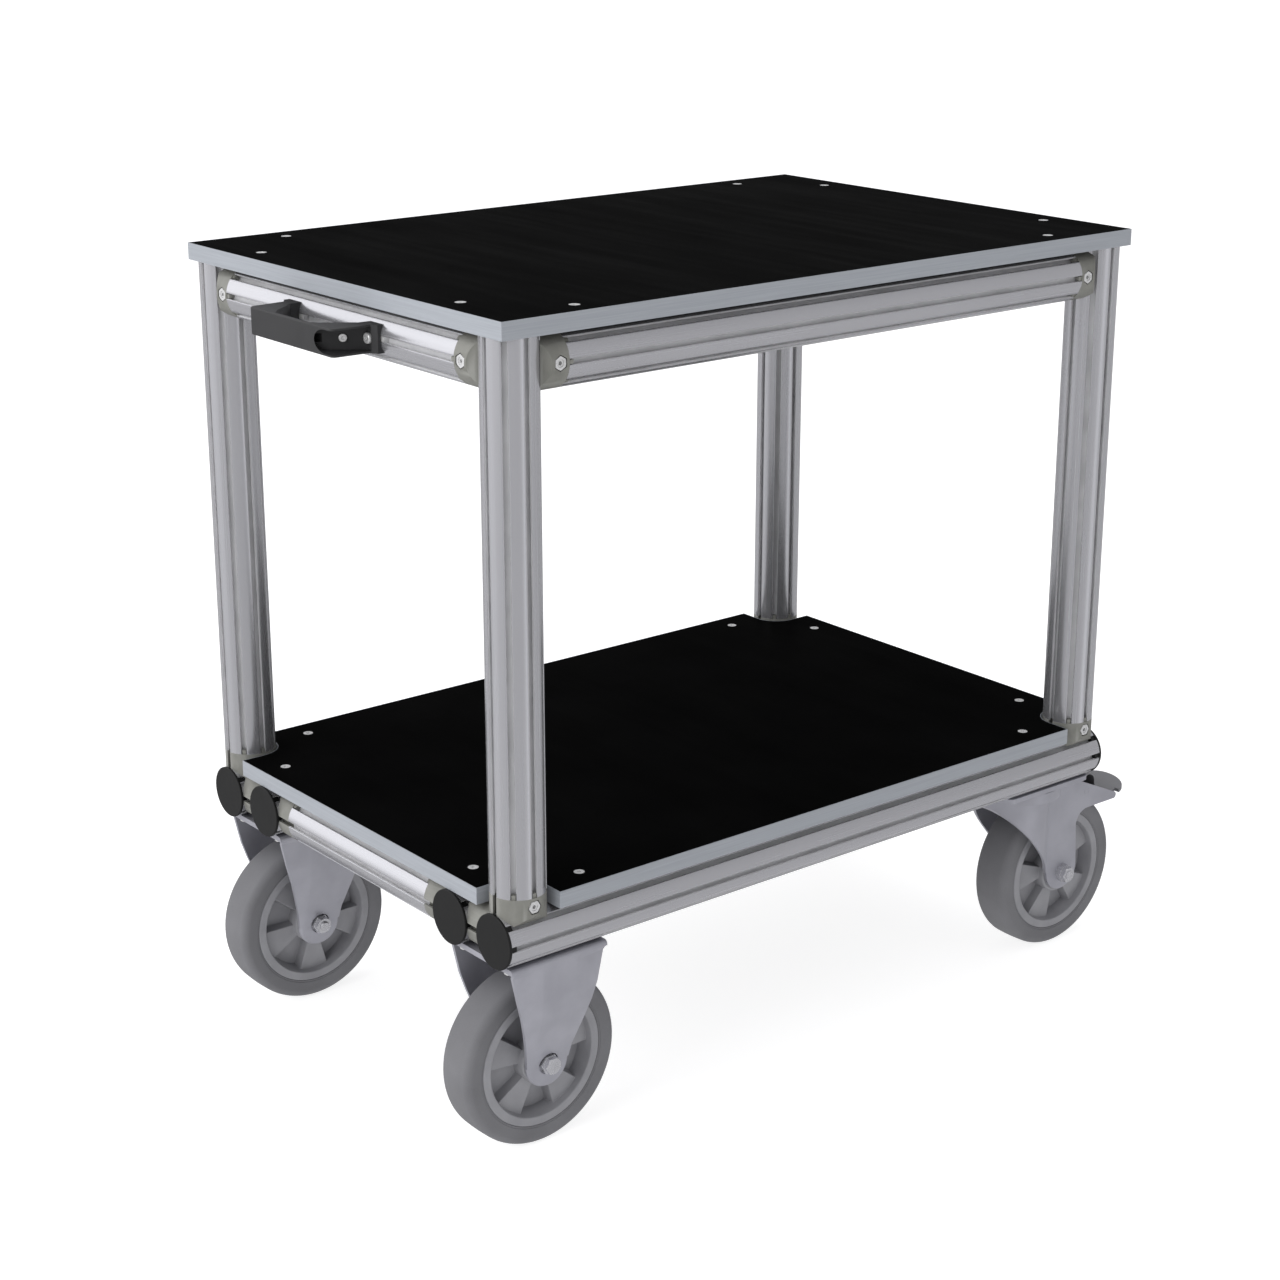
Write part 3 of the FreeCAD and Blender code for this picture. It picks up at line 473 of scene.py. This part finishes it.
def slotted_bar(node):
    """A length of profile that fills the node's box along its longest side."""
    low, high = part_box(node)
    size = high - low
    axis = max(range(3), key=lambda i: size[i])
    curve = bpy.data.curves.new(node + "_section", "CURVE")
    curve.dimensions = "2D"
    curve.fill_mode = "BOTH"
    curve.extrude = size[axis] / 2
    for loop in PROFILE_LOOPS:
        spline = curve.splines.new("POLY")
        spline.points.add(len(loop) - 1)
        for point, (x, y) in zip(spline.points, loop):
            point.co = (x * MM, y * MM, 0, 1)
        spline.use_cyclic_u = True
    helper = added(node + "_helper", curve)
    mesh = bpy.data.meshes.new_from_object(helper)
    bpy.data.objects.remove(helper)
    turn = {0: Matrix.Rotation(math.pi / 2, 4, "Y"), 1: Matrix.Rotation(math.pi / 2, 4, "X"),
            2: Matrix.Identity(4)}[axis]
    mesh.transform(Matrix.Translation((low + high) / 2) @ turn)
    edit = bmesh.new()
    edit.from_mesh(mesh)
    bmesh.ops.remove_doubles(edit, verts=edit.verts, dist=1e-6)
    bmesh.ops.recalc_face_normals(edit, faces=edit.faces)
    edit.to_mesh(mesh)
    edit.free()
    smoothed(mesh, BAR_CREASE_ANGLE)
    piece = added(node + "_shown", mesh)
    stand_for(piece, node, "profile_" + "xyz"[axis])
    # Faces inside the slots take a lighter, duller copy of the metal: painted light that fills their
    # shade.
    mesh.materials.append(MATERIALS["slot_inside_painted_light"])
    middle = (low + high) / 2
    for face in mesh.polygons:
        out = face.center - middle
        out[axis] = 0
        if out.length < (PROFILE_RADIUS - 1) * MM and abs(face.normal[axis]) < 0.5:
            face.material_index = 1


# ---- tyres --------------------------------------------------------------

def tyre_section():
    """Half of the tyre's section mirrored: seat, plain side wall, rounded shoulder."""
    wall = [(TYRE_SEAT_RADIUS, 0.0), (TYRE_SEAT_RADIUS, TYRE_SEAT_HALF_WIDTH - 0.6),
            (TYRE_SEAT_RADIUS + 0.6, TYRE_SEAT_HALF_WIDTH),
            (TYRE_SEAT_RADIUS + 2.2, TYRE_SEAT_HALF_WIDTH + 0.1),
            (TYRE_SEAT_RADIUS + 2.8, TYRE_SEAT_HALF_WIDTH + 0.7)]
    middle = (TYRE_RADIUS - TYRE_SHOULDER - TYRE_SHOULDER_DROP, TYRE_HALF_WIDTH - TYRE_SHOULDER)
    turn = arc(middle, TYRE_SHOULDER, 90, 4, 12)
    crown = [(TYRE_RADIUS - TYRE_CROWN_DROP, TYRE_CROWN_HALF_WIDTH), (TYRE_RADIUS, 0.0)]
    half = wall + turn + crown
    mirrored = [(r, -y) for r, y in reversed(half[1:-1])]
    return half + mirrored


def tyre(node):
    low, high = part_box(node)
    piece = lathed(node + "_shown", tyre_section(), (low + high) / 2)
    smoothed(piece.data, TYRE_CREASE_ANGLE)
    stand_for(piece, node, "tyre")


# ---- stage --------------------------------------------------------------

def floor():
    reach = FLOOR_HALF_SIZE
    mesh = bpy.data.meshes.new("floor")
    corners = [(-reach, -reach, 0), (reach, -reach, 0), (reach, reach, 0), (-reach, reach, 0)]
    mesh.from_pydata(corners, [], [(0, 1, 2, 3)])
    piece = added("floor", mesh)
    piece.location.z = -FLOOR_DROP
    finish = Finish("floor_white", linear(190, 190, 190), 0.0, 0.9, 0.0)
    finish.surface.inputs["Emission Color"].default_value = (1, 1, 1, 1)
    finish.surface.inputs["Emission Strength"].default_value = FLOOR_GLOW
    mesh.materials.append(finish.material)
    piece.visible_glossy = False


def area_light(name, place, target, size, watts):
    data = bpy.data.lights.new(name, "AREA")
    data.shape = "RECTANGLE"
    data.size, data.size_y = size
    data.energy = watts
    lamp = added(name, data)
    lamp.location = place
    lamp.rotation_euler = (Vector(target) - Vector(place)).to_track_quat("-Z", "Y").to_euler()


# Name, place, target, size and watts
LIGHTS = (
    ("key", (-4.0, -0.5, 2.2), (0, 0, 0.5), (2.5, 2.5), 70),
    ("top", (0.5, 0.6, 4.5), (0, 0, 0.4), (4.0, 3.0), 45),
)

# Bright patches of the surroundings: whether they are aimed by compass heading alone,
# the direction, where the patch starts and is full as a cosine, and its strength
PATCHES = (
    (False, (-0.52, 0.65, 0.55), 0.66, 0.86, 1.0),
    (False, (-0.9, 0.4, -0.15), 0.93, 0.975, 0.2),
    (True, (0.276, -0.961, 0.0), 0.985, 0.999, 0.5),
)


class Studio:
    """The world's node tree, with short ways to add and join nodes."""

    def __init__(self):
        world = bpy.data.worlds.new("studio")
        bpy.context.scene.world = world
        world.use_nodes = True
        self.nodes = world.node_tree.nodes
        self.links = world.node_tree.links

    def vector(self, operation, source, other=None):
        node = self.nodes.new("ShaderNodeVectorMath")
        node.operation = operation
        self.links.new(source, node.inputs[0])
        if other is not None:
            node.inputs[1].default_value = other
        return node.outputs

    def patch(self, direction, centre, start, end, gain):
        """Rises from 0 to gain as the direction nears the centre."""
        ramp = self.nodes.new("ShaderNodeMapRange")
        ramp.interpolation_type = "SMOOTHSTEP"
        ramp.inputs["From Min"].default_value = start
        ramp.inputs["From Max"].default_value = end
        ramp.inputs["To Max"].default_value = gain
        self.links.new(self.vector("DOT_PRODUCT", direction, centre)["Value"], ramp.inputs["Value"])
        return ramp.outputs["Result"]

    def together(self, first, second):
        node = self.nodes.new("ShaderNodeMath")
        self.links.new(first, node.inputs[0])
        self.links.new(second, node.inputs[1])
        return node.outputs["Value"]

    def value(self, level):
        node = self.nodes.new("ShaderNodeValue")
        node.outputs["Value"].default_value = level
        return node.outputs["Value"]


def studio():
    """Even surroundings with bright patches and a white backdrop, and two soft boxes."""
    tree = Studio()
    place = tree.nodes.new("ShaderNodeTexCoord").outputs["Generated"]
    level = tree.vector("MULTIPLY", place, (1, 1, 0))["Vector"]
    heading = tree.vector("NORMALIZE", level)["Vector"]
    total = tree.value(AMBIENT)
    for by_heading, centre, start, end, gain in PATCHES:
        direction = heading if by_heading else place
        total = tree.together(total, tree.patch(direction, centre, start, end, gain))
    seen = tree.nodes.new("ShaderNodeMix")
    seen.inputs["B"].default_value = 1.0
    tree.links.new(tree.nodes.new("ShaderNodeLightPath").outputs["Is Camera Ray"], seen.inputs["Factor"])
    tree.links.new(total, seen.inputs["A"])
    back = tree.nodes["Background"]
    back.inputs["Color"].default_value = (0.98, 0.98, 1.0, 1.0)
    tree.links.new(seen.outputs["Result"], back.inputs["Strength"])
    for light in LIGHTS:
        area_light(*light)


def camera():
    data = bpy.data.cameras.new("camera")
    data.sensor_width = CAMERA_SENSOR
    data.lens = CAMERA_LENS
    data.clip_end = CAMERA_REACH
    view = added("camera", data)
    view.location = CAMERA_PLACE
    view.rotation_euler = (CAMERA_TILT, 0, CAMERA_TURN)
    bpy.context.scene.camera = view


# ---- assembly -----------------------------------------------------------

BARS = [node for node, slot in SLOT_OF.items() if slot == "profile"]
TYRES = [node for node, slot in SLOT_OF.items() if slot == "tyre"]
EDGE_RADIUS = {"board": 0.0002, "edge_band": 0.0004, "casting": 0.0003, "fastener": 0.0003,
               "bearing": 0.0003, "end_cap": 0.0003, "handle": 0.0008, "fork_steel": 0.0009,
               "pedal": 0.0009, "rim": 0.0012}

# Pieces of a slot whose plating looks different from the rest of it
SPECIAL_FINISH = {"pedal_pin": "fork_steel", "_axle": "axle_bolt"}

camera()
floor()
studio()
for bar in BARS:
    slotted_bar(bar)
for wheel in TYRES:
    tyre(wheel)
for node, slot in SLOT_OF.items():
    if slot in EDGE_RADIUS:
        ending = next((end for end in SPECIAL_FINISH if node.endswith(end)), None)
        stand_for(refined(node, EDGE_RADIUS[slot]), node, SPECIAL_FINISH.get(ending, slot))

scene = bpy.context.scene
scene.view_settings.view_transform = "Standard"
scene.view_settings.look = "None"
